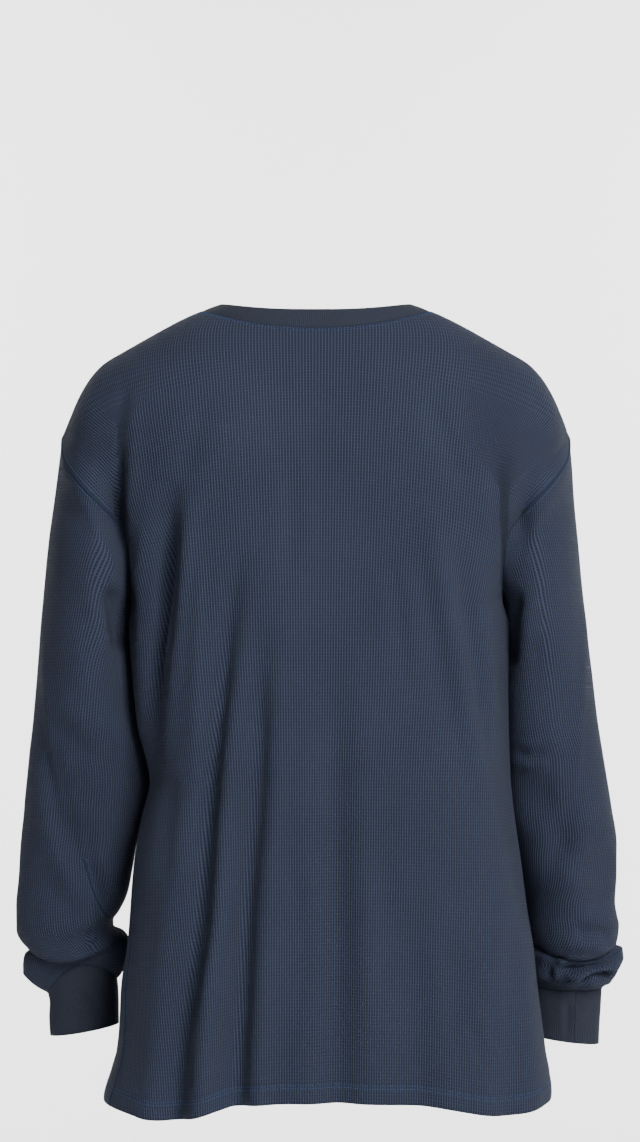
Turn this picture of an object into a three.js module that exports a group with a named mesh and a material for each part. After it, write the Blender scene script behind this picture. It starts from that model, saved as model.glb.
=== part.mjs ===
// Long-sleeved thermal top in waffle knit, with the form it has when worn and nobody in it.
// Millimetres, +Z up, front towards -Y, the wearer's left towards +X.
// The origin is midway between the two points where the shoulder seams meet the neck.
// A "drop" is a distance straight down from the origin.

import * as THREE from 'three';

// Thickness of the cloth, and the gap left at every seam
const CLOTH_WALL = 1.8;
const HEM_WALL = 3.0;
const BAND_WALL = 2.8;
const CUFF_WALL = 2.4;
const SEAM_GAP = 0.3;

// Pieces whose outsides turn further apart than this at a seam face each other
const FACING = 0.3;

// Neck seam
const NECK_HALF_WIDTH = 111;
const NECK_DROP_BACK = 20;
const NECK_DROP_FRONT = 95;

// Armhole: its top lies on the upper arm, its bottom in the armpit
const SHOULDER_TIP = { x: 245.5, drop: 122 };
const ARMPIT = { x: 178.5, drop: 275 };
const ARMHOLE_PULL = { x: 186, drop: 200 };

// Drop of the centre lines where the rows from the shoulder tip and the armpit start, and of the hem
const TIP_ROW_DROP = { back: 68, front: 130 };
const ARMPIT_ROW_DROP = { back: 300, front: 305 };
const HEM_DROP = { back: 744, front: 752, side: 757 };
const HEM_SAG = 14;

// Roundness of the sections: 2 is an ellipse, more is squarer
const BODY_POWER = 2.5;
const ARM_POWER = 2.0;

// Rows and columns of the panels
const SHOULDER_ROWS = 5;
const ARMHOLE_ROWS = 10;
const BODY_ROWS = 14;
const HALF_COLUMNS = 13;
const FINE_STEPS = 160;

// Shoulder line: distance from the centre, its drop, and how far down the cloth is still rounding
// over it
const RIDGE = table('side drop back front', [
  [0, -14, 185, 300],
  [60, -10, 168, 275],
  [111, 0, 136, 205],
  [130, 8, 118, 160],
  [148, 17.5, 104, 128],
  [165, 27, 92, 106],
  [186, 39, 80, 84],
  [205, 50.5, 70, 70],
  [216, 62, 62, 62],
  [224, 74, 56, 56],
  [230, 85.5, 52, 52],
  [235, 97, 49, 49],
  [240, 108.5, 46, 46],
  [245.5, 122, 44, 44],
]);

// Body: half widths to the wearer's left and right, and depths to the back and front
const BODY = table('drop left right back front', [
  [0, 262, 262, 121, 112],
  [60, 258, 258, 121, 114],
  [110, 246, 246, 121, 117],
  [150, 222, 222, 121, 120],
  [190, 200, 200, 121, 122],
  [230, 186, 186, 121, 122],
  [275, 178.5, 178.5, 121, 122],
  [330, 177, 179, 121, 121],
  [376, 175.5, 180.5, 122, 121],
  [446, 168.5, 182, 124, 122],
  [490, 171, 187, 126, 123],
  [530, 178, 193, 128, 124],
  [610, 181, 208, 132, 127],
  [670, 186, 214, 136, 130],
  [757, 202, 224, 141, 135],
]);

// How far the side seams swing round to the back
const SIDE_SEAM = table('drop left right', [
  [275, 0, 0],
  [400, 14, 10],
  [560, 44, 26],
  [690, 66, 34],
  [757, 68, 34],
]);

// Upper arm inside the sleeve head, and the sleeve down to the forearm
const ARM = table('drop left right leftInner rightInner mid back front', [
  [60, 252, 252, 160, 160, 0, 60, 52],
  [100, 251, 251, 162, 162, 0, 70, 60],
  [122, 249.5, 249.5, 165, 165, 0, 76, 66],
  [145, 249, 248, 170, 170, 0, 82, 72],
  [172, 252, 249.5, 174, 174, 0, 86, 78],
  [202, 256, 251.5, 177, 177, 0, 88, 82],
  [240, 261, 256, 178.4, 178.4, 0, 88, 84],
  [275, 264, 258.5, 178.5, 178.5, 0, 85, 84],
  [286, 265.2, 259.5, 182.4, 182.4, -1, 83, 83],
  [330, 269, 266, 182, 184, -3, 78, 78],
  [376, 273, 271, 179.5, 184.5, -8, 71, 71],
  [446, 281, 282.5, 172.6, 186.5, -16, 59, 60],
  [490, 286, 290, 175, 191, -23, 53, 54],
  [530, 290.5, 296, 183, 198, -31, 50, 51],
  [560, 292, 293.5, 189, 204, -37, 48, 48],
]);

// Strength with which the valley between arm and body is bridged by the cloth
const BRIDGE = table('drop reach', [[100, 40], [150, 30], [200, 18], [240, 10], [275, 2]]);

// Rings of the sleeve above the pouch: drop on the outer side and on the inner side
const SLEEVE_RINGS = [
  [152, 282], [184, 292], [222, 308], [262, 330], [304, 356], [348, 386],
  [394, 420], [438, 454], [480, 488], [518, 520], [550, 546],
];

// Where the body's side swells out to rest against the arm: drop where it starts to end, over how
// long, and how far
const NEST = { left: [470, 60, 9], right: [520, 80, 8] };

// Sleeve ends, where the cloth piles up over the cuffs
const WRIST_LEFT = table('outer outerDrop inner innerDrop mid back front sag frontSag', [
  [294.5, 580, 199, 565, -39, 48, 47, 0, 0],
  [294.5, 603, 204, 588, -42, 47, 46, 5, 3],
  [290.5, 614, 206.5, 597, -45, 44, 43, 9, 5],
  [285, 620, 200, 602, -46, 43, 41, 13, 7],
  [282.5, 623, 184.5, 612, -46, 41, 38, 17, 8],
  [281, 623.5, 183.5, 624, -48, 33, 33, 11, 7],
  [287, 628, 186, 634, -49, 34, 40, 5, 5],
  [289, 639, 189, 642, -50, 34, 42, -1, 3],
  [289, 647, 192, 647, -51, 33, 40, -5, 1],
  [283, 656, 193, 649, -52, 34, 35, -10, -1],
  [264.5, 667, 196, 652, -52, 29.5, 29, -17, -3],
]);
const WRIST_RIGHT = table('outer outerDrop inner innerDrop mid back front sag frontSag', [
  [291.5, 576, 206, 570, -41, 46, 46, 0, 0],
  [292, 592, 207, 587, -45, 43, 45, 2, 2],
  [295, 604, 208, 600, -48, 46, 46, 6, 6],
  [290, 615, 209, 609, -51, 42, 42, 15, 15],
  [281, 617, 211, 612, -52, 36, 38, 17, 17],
  [294, 626, 207, 618, -54, 43, 45, 14, 14],
  [297, 638, 206, 632, -57, 45, 46, 9, 9],
  [286, 649, 210, 643, -59, 38, 39, 9, 9],
  [289, 656, 209, 650, -60, 40, 40, 7, 7],
  [281, 666, 212, 661, -62, 34, 34, 2, 2],
  [278, 665, 212, 663, -62, 28, 28, 0, 0],
]);
const CUFF_LEFT = table('outer outerDrop inner innerDrop mid back front sag frontSag', [
  [264.5, 667, 196, 652, -52, 29.5, 29, -17, -3],
  [262.8, 677, 195, 664, -53, 28, 27.5, -12, -2],
  [263.5, 692, 194.5, 681, -54, 27, 26.5, -4, 0],
  [262.5, 709, 194.5, 697, -55, 28, 27.5, 0, 0],
]);
const CUFF_RIGHT = table('outer outerDrop inner innerDrop mid back front sag frontSag', [
  [278, 665, 212, 663, -62, 28, 28, 0, 0],
  [279, 684, 212, 682, -64, 27, 27, 0, 0],
  [279, 703, 213, 701, -66, 26, 26, 0, 0],
  [278.5, 722, 213, 718, -68, 27, 27, 0, 0],
]);

// Neck band: how far it leans in and rises from the seam at the back, front and sides
const BAND = {
  back: { lean: 8, rise: 18 },
  front: { lean: 11, rise: 14 },
  side: { lean: 12.5, rise: 9.3 },
};
const BAND_BULGE = 1.4;
const BAND_ROWS = 3;

// Folds of the body. "from" and "to" are distances along the cloth from the centre line, left positive.
// Positive depth is a trough, negative a ridge. "open" folds keep their depth down to the hem.
const BACK_FOLDS = folds([
  [206, 96, 212, 215, 7, 15, 0],
  [132, 175, 160, 560, 10, 15, 0],
  [78, 230, 150, 757, 10, 15, 1],
  [40, 300, 74, 757, 13, 13, 1],
  [-22, 300, -28, 757, 8, 16, 1],
  [-110, 185, -205, 560, -8, 15, 0],
  [-142, 200, -186, 470, 8, 13, 0],
  [-96, 330, -112, 757, 5, 20, 1],
  [105, 420, 112, 757, -6, 16, 1],
  [-190, 520, -178, 757, 7, 16, 1],
  [205, 560, 214, 757, 7, 16, 1],
]);
const FRONT_FOLDS = folds([
  [165, 190, 190, 560, 9, 16, 0],
  [96, 250, 128, 757, 10, 16, 1],
  [30, 330, 44, 757, 9, 17, 1],
  [-34, 290, -46, 757, 7, 18, 1],
  [-100, 230, -142, 757, 11, 15, 1],
  [-168, 200, -196, 520, 8, 15, 0],
  [66, 420, 84, 757, -6, 15, 1],
  [205, 520, 214, 757, 7, 16, 1],
  [-206, 540, -220, 757, 7, 16, 1],
]);

// Shoulder blades: a low swelling on each side of the back
const BLADE = { side: 80, drop: 122, reach: 46, height: 4 };

// Folds round the sleeves: turn in degrees from the outer side over the back, and drop
const SLEEVE_FOLDS_LEFT = sleeveFolds([
  [40, 400, 120, 560, 5, 26],
  [100, 250, 135, 420, 4, 24],
  [20, 470, 70, 600, 4, 22],
  [220, 330, 300, 480, 5, 28],
  [300, 430, 250, 580, 5, 26],
]);
const SLEEVE_FOLDS_RIGHT = sleeveFolds([
  [110, 300, 60, 430, 4, 26],
  [120, 430, 80, 560, 5, 24],
  [30, 500, 60, 600, 4, 22],
  [230, 360, 290, 500, 5, 28],
  [310, 440, 260, 575, 5, 26],
]);

// Small helpers

function table(names, rows) {
  const out = {};
  names.split(' ').forEach((name, i) => {
    out[name] = rows.map((row) => row[i]);
  });
  return out;
}

function folds(rows) {
  return rows.map(([from, top, to, bottom, depth, width, open]) => {
    return { from, top, to, bottom, depth, width, open };
  });
}

function sleeveFolds(rows) {
  return rows.map(([from, top, to, bottom, depth, width]) => ({ from, top, to, bottom, depth, width }));
}

function lerp(a, b, t) {
  return a + (b - a) * t;
}

function clamp(v, low, high) {
  return Math.min(high, Math.max(low, v));
}

function ease(t) {
  const c = clamp(t, 0, 1);
  return c * c * (3 - 2 * c);
}

// Smooth line through the rows of a table, never swinging past them
function line(tab, key, name) {
  const x = tab[key];
  const y = tab[name];
  const last = x.length - 1;
  const step = x.slice(1).map((v, i) => (y[i + 1] - y[i]) / (v - x[i]));
  const slope = y.map((v, i) => {
    if (i === 0) return step[0];
    if (i === last) return step[last - 1];
    const product = step[i - 1] * step[i];
    return product <= 0 ? 0 : (2 * product) / (step[i - 1] + step[i]);
  });
  return (at) => {
    if (at <= x[0]) return y[0];
    if (at >= x[last]) return y[last];
    let i = 0;
    while (at > x[i + 1]) i += 1;
    const h = x[i + 1] - x[i];
    const t = (at - x[i]) / h;
    const a = (1 + 2 * t) * (1 - t) * (1 - t);
    const b = t * (1 - t) * (1 - t);
    const c = t * t * (3 - 2 * t);
    const d = t * t * (t - 1);
    return a * y[i] + b * h * slope[i] + c * y[i + 1] + d * h * slope[i + 1];
  };
}

function lines(tab, key) {
  const out = {};
  Object.keys(tab).filter((name) => name !== key).forEach((name) => {
    out[name] = line(tab, key, name);
  });
  return out;
}

const ridge = lines(RIDGE, 'side');
const body = lines(BODY, 'drop');
const sideSeam = lines(SIDE_SEAM, 'drop');
const arm = lines(ARM, 'drop');
const bridge = lines(BRIDGE, 'drop');

// Depth of a rounded section at q half widths from its middle; it falls away steeply outside
function lobe(q, halfWidth, depth, power) {
  const a = Math.abs(q);
  return a < 1 ? depth * (1 - a ** power) ** (1 / power) : -3 * halfWidth * (a - 1);
}

function softMax(a, b, reach) {
  const h = Math.max(reach - Math.abs(a - b), 0) / reach;
  return Math.max(a, b) + (h * h * reach) / 4;
}

// Depth of the cloth in front of or behind the line through both shoulders, above the armpits
function yokeDepth(face, hand, x, drop) {
  const half = body[hand](drop);
  const trunk = lobe(x / half, half, body[face](drop), BODY_POWER);
  const outer = arm[hand](drop);
  const inner = arm[`${hand}Inner`](drop);
  const mid = (outer + inner) / 2;
  const armHalf = (outer - inner) / 2;
  const upperArm = lobe((x - mid) / armHalf, armHalf, arm[face](drop), ARM_POWER);
  const full = Math.max(softMax(trunk, upperArm, bridge.reach(drop)), 0);
  const over = clamp((drop - ridge.drop(x)) / ridge[face](x), 0, 1);
  return full * Math.sqrt(1 - (1 - over) ** 2);
}

function foldDepth(list, along, drop) {
  let sum = 0;
  for (const f of list) {
    const t = (drop - f.top) / (f.bottom - f.top);
    if (t > 0 && (t < 1 || f.open)) {
      const off = (along - lerp(f.from, f.to, clamp(t, 0, 1))) / f.width;
      const fade = ease(t * 3) * (f.open ? lerp(0.55, 1, clamp(t, 0, 1)) : ease((1 - t) * 2.5));
      sum -= f.depth * fade * Math.exp(-off * off);
      sum += 0.35 * f.depth * fade * Math.exp(-((Math.abs(off) - 1.9) ** 2));
    }
  }
  return sum;
}

function distance(p, q) {
  return Math.hypot(p[0] - q[0], p[1] - q[1], p[2] - q[2]);
}

function lengths(points) {
  const out = [0];
  for (let i = 1; i < points.length; i += 1) {
    out.push(out[i - 1] + distance(points[i], points[i - 1]));
  }
  return out;
}

function pointAt(points, along, s) {
  let i = 0;
  while (i < points.length - 2 && along[i + 1] < s) i += 1;
  const t = (s - along[i]) / Math.max(along[i + 1] - along[i], 1e-9);
  return points[i].map((v, k) => lerp(v, points[i + 1][k], t));
}

// Points spaced evenly along a line, from distance a to distance b
function spaced(points, count, a = 0, b = null) {
  const along = lengths(points);
  const end = b === null ? along[along.length - 1] : b;
  return Array.from({ length: count + 1 }, (_, i) => pointAt(points, along, lerp(a, end, i / count)));
}

// Moves a line's points level with the ground, across the line, by the depth of the folds there
function pushed(points, amount) {
  const along = lengths(points);
  const total = along[along.length - 1];
  return points.map((p, i) => {
    const a = points[Math.max(i - 1, 0)];
    const b = points[Math.min(i + 1, points.length - 1)];
    const dx = b[0] - a[0];
    const dy = b[1] - a[1];
    const size = Math.max(Math.hypot(dx, dy), 1e-6);
    const out = amount(along[i], total, p);
    return [p[0] - (dy / size) * out, p[1] + (dx / size) * out, p[2]];
  });
}

// Body panels. Rows are worked out on the positive side and mirrored for the wearer's right.

const FACES = {
  back: { sign: 1, list: BACK_FOLDS },
  front: { sign: -1, list: FRONT_FOLDS },
};
const HANDS = { left: 1, right: -1 };

function bladeHeight(x, drop) {
  const d = Math.hypot(x - BLADE.side, (drop - BLADE.drop) * 0.8) / BLADE.reach;
  return BLADE.height * Math.exp(-d * d);
}

// How a row falls from its drop at the centre to its drop at the end: round at the neck, late at
// the sides
function rowFall(q, neckness, face) {
  const round = face === 'front' ? 1 - (1 - q * q) ** 0.72 : q ** 2.2;
  return lerp(q ** 2.4, round, neckness);
}

function yokeRow(face, hand, centreDrop, end, neckness, freeEnd) {
  const { sign, list } = FACES[face];
  const points = [];
  for (let i = 0; i <= FINE_STEPS; i += 1) {
    const q = Math.sin(((i / FINE_STEPS) * Math.PI) / 2);
    const x = end.x * q;
    const drop = lerp(centreDrop, end.drop, rowFall(q, neckness, face));
    points.push([x, i === FINE_STEPS ? end.y : sign * yokeDepth(face, hand, x, drop), -drop]);
  }
  return pushed(points, (s, total, p) => {
    const edge = ease((total - s) / Math.max(36 * (1 - freeEnd), 0.01));
    const blade = face === 'back' ? bladeHeight(p[0], -p[2]) : 0;
    const amount = foldDepth(list, s * HANDS[hand], -p[2]) + blade;
    return sign * edge * (1 - neckness) * amount;
  });
}

// How far the body's side swells out behind the arm, where it rests against the sleeve
function nest(hand, drop, y) {
  const [top, fall, amount] = NEST[hand];
  const fade = ease((drop - 285) / 60) * (1 - ease((drop - top) / fall));
  return amount * fade * Math.exp(-(((y - 35) / 24) ** 2));
}

// Half ring of the body below the armpits, from the centre back round the side to the centre front
function bodyRing(hand, t) {
  const side = lerp(ARMPIT.drop, HEM_DROP.side, t);
  const centre = {
    back: lerp(ARMPIT_ROW_DROP.back, HEM_DROP.back, t),
    front: lerp(ARMPIT_ROW_DROP.front, HEM_DROP.front, t),
  };
  const half = body[hand](side);
  const points = [];
  for (let i = 0; i <= 2 * FINE_STEPS; i += 1) {
    const face = i <= FINE_STEPS ? 'back' : 'front';
    const angle = (i / FINE_STEPS) * (Math.PI / 2);
    const q = Math.sin(angle);
    const sag = HEM_SAG * t ** 4 * Math.exp(-(((q - 0.82) / 0.14) ** 2));
    const drop = lerp(centre[face], side, q ** 2.4) + sag;
    const depth = lobe(Math.min(q, 1), half, body[face](drop), BODY_POWER);
    const y = FACES[face].sign * Math.max(depth, 0);
    const out = q > 0.6 ? nest(hand, drop, y) : 0;
    points.push([half * q + out, y, -drop]);
  }
  points[FINE_STEPS][1] = 0;
  return pushed(points, (s, total, p) => {
    const behind = foldDepth(BACK_FOLDS, s * HANDS[hand], -p[2]);
    const ahead = foldDepth(FRONT_FOLDS, (total - s) * HANDS[hand], -p[2]);
    return behind + ahead;
  });
}

// Seam lines shared by the panels and the sleeves
function armholeLine(face, hand, count) {
  const points = [];
  for (let i = 0; i <= FINE_STEPS; i += 1) {
    const t = i / FINE_STEPS;
    const at = (k) => {
      return (1 - t) ** 2 * SHOULDER_TIP[k] + 2 * t * (1 - t) * ARMHOLE_PULL[k] + t * t * ARMPIT[k];
    };
    const ends = i === 0 || i === FINE_STEPS;
    const depth = ends ? 0 : yokeDepth(face, hand, at('x'), at('drop'));
    points.push([at('x'), FACES[face].sign * depth, -at('drop')]);
  }
  return spaced(points, count);
}

function shoulderLine(count) {
  const points = [];
  for (let i = 0; i <= FINE_STEPS; i += 1) {
    const x = lerp(NECK_HALF_WIDTH, SHOULDER_TIP.x, i / FINE_STEPS);
    points.push([x, 0, -ridge.drop(x)]);
  }
  return spaced(points, count);
}

function halfRows(face, hand) {
  const rows = [];
  const neckDrop = face === 'back' ? NECK_DROP_BACK : NECK_DROP_FRONT;
  const asEnd = (p) => ({ x: p[0], y: p[1], drop: -p[2] });
  shoulderLine(SHOULDER_ROWS).forEach((p, i) => {
    const t = i / SHOULDER_ROWS;
    const centre = lerp(neckDrop, TIP_ROW_DROP[face], t);
    rows.push(spaced(yokeRow(face, hand, centre, asEnd(p), (1 - t) ** 1.5, 0), HALF_COLUMNS));
  });
  armholeLine(face, hand, ARMHOLE_ROWS).slice(1).forEach((p, i) => {
    const t = (i + 1) / ARMHOLE_ROWS;
    const centre = lerp(TIP_ROW_DROP[face], ARMPIT_ROW_DROP[face], t);
    rows.push(spaced(yokeRow(face, hand, centre, asEnd(p), 0, ease(t * 4 - 3)), HALF_COLUMNS));
  });
  for (let i = 1; i <= BODY_ROWS; i += 1) {
    const t = i / BODY_ROWS;
    const ring = bodyRing(hand, t);
    const along = lengths(ring);
    const total = along[along.length - 1];
    const swing = sideSeam[hand](lerp(ARMPIT.drop, HEM_DROP.side, t));
    const seam = along[FINE_STEPS] - swing;
    const span = face === 'back' ? [0, seam] : [total, seam];
    rows.push(spaced(ring, HALF_COLUMNS, span[0], span[1]));
  }
  return rows;
}

function bodyPanel(face) {
  const left = halfRows(face, 'left');
  const right = halfRows(face, 'right').map((row) => row.map(([x, y, z]) => [-x, y, z]));
  return left.map((row, i) => [...right[i].slice(1).reverse(), ...row]);
}

// Rings of the sleeves and cuffs, from the outer side over the back to the inner side, and back
// over the front

function ring(at, bow) {
  const half = (face) => {
    const points = [];
    for (let i = 0; i <= FINE_STEPS; i += 1) {
      const angle = (i / FINE_STEPS) * Math.PI;
      const t = (1 - Math.cos(angle)) / 2;
      const lift = 2 * t * (1 - t);
      const x = lerp(at.outer, at.inner, t) + bow.x * lift;
      const sag = face === 'back' ? at.sag : at.frontSag;
      const level = lerp(at.outerDrop, at.innerDrop, t);
      const drop = level + bow.drop * lift + sag * Math.sin(angle) ** 2;
      const depth = at[face] * Math.sin(angle) ** (2 / ARM_POWER);
      points.push([x, at.mid + FACES[face].sign * depth, -drop]);
    }
    return spaced(points, ARMHOLE_ROWS);
  };
  return [...half('back'), ...half('front').slice(1, -1).reverse()];
}

function armRing(hand, [outerDrop, innerDrop], t) {
  const mean = (outerDrop + innerDrop) / 2;
  const at = {
    outer: arm[hand](outerDrop),
    outerDrop,
    inner: arm[`${hand}Inner`](innerDrop),
    innerDrop,
    mid: arm.mid(mean),
    back: arm.back(mean),
    front: arm.front(mean),
    sag: 0,
    frontSag: 0,
  };
  const fade = (1 - t) ** 3;
  const bow = {
    x: (ARMHOLE_PULL.x - (SHOULDER_TIP.x + ARMPIT.x) / 2) * fade,
    drop: (ARMHOLE_PULL.drop - (SHOULDER_TIP.drop + ARMPIT.drop) / 2) * fade,
  };
  return ring(at, bow);
}

function tableRings(tab) {
  return tab.outer.map((_, i) => {
    const at = {};
    Object.keys(tab).forEach((name) => {
      at[name] = tab[name][i];
    });
    return ring(at, { x: 0, drop: 0 });
  });
}

function sleevePush(rings, list) {
  return rings.map((points, i) => {
    if (i === 0 || i === rings.length - 1) return points;
    const centre = [0, 1, 2].map((k) => points.reduce((sum, p) => sum + p[k], 0) / points.length);
    return points.map((p, j) => {
      const turn = (j / points.length) * 360;
      const drop = -p[2];
      let amount = 0;
      for (const f of list) {
        const t = (drop - f.top) / (f.bottom - f.top);
        if (t > 0 && t < 1) {
          const off = (turn - lerp(f.from, f.to, t)) / f.width;
          amount -= f.depth * ease(t * 3) * ease((1 - t) * 3) * Math.exp(-off * off);
        }
      }
      const size = Math.hypot(p[0] - centre[0], p[1] - centre[1]);
      const x = p[0] + ((p[0] - centre[0]) / size) * amount;
      const y = p[1] + ((p[1] - centre[1]) / size) * amount;
      return [x, y, p[2]];
    });
  });
}

function mirrored(rings, hand) {
  return rings.map((points) => points.map(([x, y, z]) => [x * HANDS[hand], y, z]));
}

function sleeve(hand) {
  const back = armholeLine('back', hand, ARMHOLE_ROWS);
  const front = armholeLine('front', hand, ARMHOLE_ROWS);
  const head = [...back, ...front.slice(1, -1).reverse()];
  const arms = SLEEVE_RINGS.map((drops, i) => armRing(hand, drops, (i + 1) / SLEEVE_RINGS.length));
  const wrist = tableRings(hand === 'left' ? WRIST_LEFT : WRIST_RIGHT);
  const list = hand === 'left' ? SLEEVE_FOLDS_LEFT : SLEEVE_FOLDS_RIGHT;
  return mirrored(sleevePush([head, ...arms, ...wrist], list), hand);
}

function cuff(hand) {
  return mirrored(tableRings(hand === 'left' ? CUFF_LEFT : CUFF_RIGHT), hand);
}

// Neck band: the ring of the neck seam, leaning in as it rises
function neckBand(backTop, frontTop) {
  const seam = [...backTop, ...frontTop.slice(1, -1)];
  const rows = [];
  for (let i = 0; i <= BAND_ROWS; i += 1) {
    const t = i / BAND_ROWS;
    rows.push(seam.map(([x, y, z]) => {
      const side = (Math.abs(x) / NECK_HALF_WIDTH) ** 2;
      const end = y > 0 ? BAND.back : BAND.front;
      const lean = lerp(end.lean, BAND.side.lean, side);
      const rise = lerp(end.rise, BAND.side.rise, side);
      const size = Math.hypot(x, y);
      const move = lean * t - BAND_BULGE * Math.sin(t * Math.PI);
      return [x - (x / size) * move, y - (y / size) * move, z + rise * t];
    }));
  }
  return rows;
}

// From grids of points to closed walls

function vector(p) {
  return new THREE.Vector3(p[0], p[1], p[2]);
}

function makeGrid(name, rows, closed, seams, wall) {
  const points = rows.map((row) => row.map(vector));
  const grid = { name, points, closed, seams, wall, columns: points[0].length };
  const centre = new THREE.Vector3();
  points.flat().forEach((p) => centre.add(p));
  centre.divideScalar(points.flat().length);
  grid.sign = 1;
  let sum = 0;
  eachCell(grid, (i, j, k) => {
    sum += cellNormal(grid, i, j, k).dot(points[i][j].clone().sub(centre));
  });
  grid.sign = Math.sign(sum);
  return grid;
}

function eachCell(grid, visit) {
  const across = grid.closed ? grid.columns : grid.columns - 1;
  for (let i = 0; i < grid.points.length - 1; i += 1) {
    for (let j = 0; j < across; j += 1) {
      visit(i, j, (j + 1) % grid.columns);
    }
  }
}

function cellNormal(grid, i, j, k) {
  const p = grid.points;
  const a = p[i + 1][k].clone().sub(p[i][j]);
  const b = p[i + 1][j].clone().sub(p[i][k]);
  return a.cross(b).multiplyScalar(-grid.sign);
}

// Normals are shared where pieces meet, so that the faces along a seam stay parallel.
// Where two pieces face each other, as deep in the armpit, each keeps its own and they part a little.
function shareNormals(grids) {
  const shared = new Map();
  const key = (p) => [p.x, p.y, p.z].map((v) => Math.round(v * 50)).join(' ');
  const own = (p, name) => {
    const id = key(p);
    if (!shared.has(id)) shared.set(id, {});
    const all = shared.get(id);
    if (!all[name]) all[name] = new THREE.Vector3();
    return all[name];
  };
  grids.forEach((grid) => {
    eachCell(grid, (i, j, k) => {
      const normal = cellNormal(grid, i, j, k).normalize();
      const corners = [[i, j], [i, k], [i + 1, j], [i + 1, k]].map(([a, b]) => grid.points[a][b]);
      corners.forEach((p) => {
        own(p, grid.name).add(normal);
      });
    });
  });
  shared.forEach((all) => Object.values(all).forEach((normal) => normal.normalize()));
  grids.forEach((grid) => {
    grid.parted = grid.points.map((row) => row.map(() => false));
    grid.normals = grid.points.map((row, i) => row.map((p, j) => {
      const mine = own(p, grid.name);
      const sum = new THREE.Vector3();
      Object.values(shared.get(key(p))).forEach((normal) => {
        if (normal.dot(mine) > FACING) sum.add(normal);
        else grid.parted[i][j] = true;
      });
      return sum.normalize();
    }));
  });
}

// Directions from a seam into its own panel, one for each stretch of seam that meets at a point.
// They lie across the seam and along the cloth, so that the two sides part evenly.
function seamMoves(grid) {
  const moves = new Map();
  const add = (i, j, tangent, into) => {
    const id = i * grid.columns + j;
    const across = grid.normals[i][j].clone().cross(tangent);
    const clear = across.length() > 0.5;
    const dir = clear ? across.normalize().multiplyScalar(Math.sign(across.dot(into))) : into.clone();
    if (!moves.has(id)) moves.set(id, []);
    moves.get(id).push(dir);
  };
  const lastRow = grid.points.length - 1;
  const lastColumn = grid.columns - 1;
  const stretch = (i0, j0, i1, j1, ii, jj) => {
    const a = grid.points[i0][j0];
    const b = grid.points[i1][j1];
    const c = grid.points[ii][jj];
    const tangent = b.clone().sub(a).normalize();
    const into = c.clone().sub(a);
    into.addScaledVector(tangent, -into.dot(tangent)).normalize();
    add(i0, j0, tangent, into);
    add(i1, j1, tangent, into);
  };
  const across = grid.closed ? grid.columns : lastColumn;
  for (let j = 0; j < across; j += 1) {
    const k = (j + 1) % grid.columns;
    if (grid.seams.includes('top')) stretch(0, j, 0, k, 1, j);
    if (grid.seams.includes('bottom')) stretch(lastRow, j, lastRow, k, lastRow - 1, j);
  }
  if (grid.seams.includes('sides')) {
    for (let i = 0; i < lastRow; i += 1) {
      stretch(i, 0, i + 1, 0, i, 1);
      stretch(i, lastColumn, i + 1, lastColumn, i, lastColumn - 1);
    }
  }
  return moves;
}

function movedForSeams(grid) {
  const moves = seamMoves(grid);
  return grid.points.map((row, i) => row.map((p, j) => {
    const dirs = moves.get(i * grid.columns + j);
    if (!dirs) return p.clone();
    const away = grid.parted[i][j] ? -SEAM_GAP * 0.6 : 0;
    const sum = dirs.reduce((v, d) => v.add(d), new THREE.Vector3()).divideScalar(dirs.length);
    const scale = clamp(1 / Math.max(sum.lengthSq(), 0.2), 1, 2.5);
    const spread = p.clone().addScaledVector(sum, (SEAM_GAP / 2) * scale);
    return spread.addScaledVector(grid.normals[i][j], away);
  }));
}

function wallMesh(grid, material) {
  const outer = movedForSeams(grid);
  const rows = outer.length;
  const positions = [];
  outer.forEach((row) => row.forEach((p) => positions.push(p.x, p.y, p.z)));
  outer.forEach((row, i) => row.forEach((p, j) => {
    const q = p.clone().addScaledVector(grid.normals[i][j], -grid.wall(i));
    positions.push(q.x, q.y, q.z);
  }));
  const count = rows * grid.columns;
  const index = [];
  const far = (a, b) => distance(positions.slice(3 * a, 3 * a + 3), positions.slice(3 * b, 3 * b + 3));
  const firstIsShorter = (a, b, c, d) => far(a, c) <= far(b, d);
  const quad = (a, b, c, d, split) => {
    const order = split ? [a, b, c, a, c, d] : [a, b, d, b, c, d];
    index.push(...(grid.sign > 0 ? order : order.reverse()));
  };
  const rim = (a, b, c, d) => quad(a, b, c, d, firstIsShorter(a, b, c, d));
  const id = (i, j) => i * grid.columns + j;
  eachCell(grid, (i, j, k) => {
    const [a, b, c, d] = [id(i, j), id(i + 1, j), id(i + 1, k), id(i, k)];
    const split = firstIsShorter(a, b, c, d);
    quad(a, b, c, d, split);
    quad(count + d, count + c, count + b, count + a, !split);
  });
  const across = grid.closed ? grid.columns : grid.columns - 1;
  for (let j = 0; j < across; j += 1) {
    const k = (j + 1) % grid.columns;
    rim(id(0, j), id(0, k), count + id(0, k), count + id(0, j));
    rim(id(rows - 1, k), id(rows - 1, j), count + id(rows - 1, j), count + id(rows - 1, k));
  }
  if (!grid.closed) {
    const end = grid.columns - 1;
    for (let i = 0; i < rows - 1; i += 1) {
      rim(id(i + 1, 0), id(i, 0), count + id(i, 0), count + id(i + 1, 0));
      rim(id(i, end), id(i + 1, end), count + id(i + 1, end), count + id(i, end));
    }
  }
  const geometry = new THREE.BufferGeometry();
  geometry.setAttribute('position', new THREE.Float32BufferAttribute(positions, 3));
  geometry.setIndex(index);
  geometry.computeVertexNormals();
  const mesh = new THREE.Mesh(geometry, material);
  mesh.name = grid.name;
  return mesh;
}

// The pieces

const waffle = new THREE.MeshStandardMaterial({ color: 0x39435a, roughness: 0.95 });
const rib = new THREE.MeshStandardMaterial({ color: 0x333c4e, roughness: 0.92 });

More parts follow.
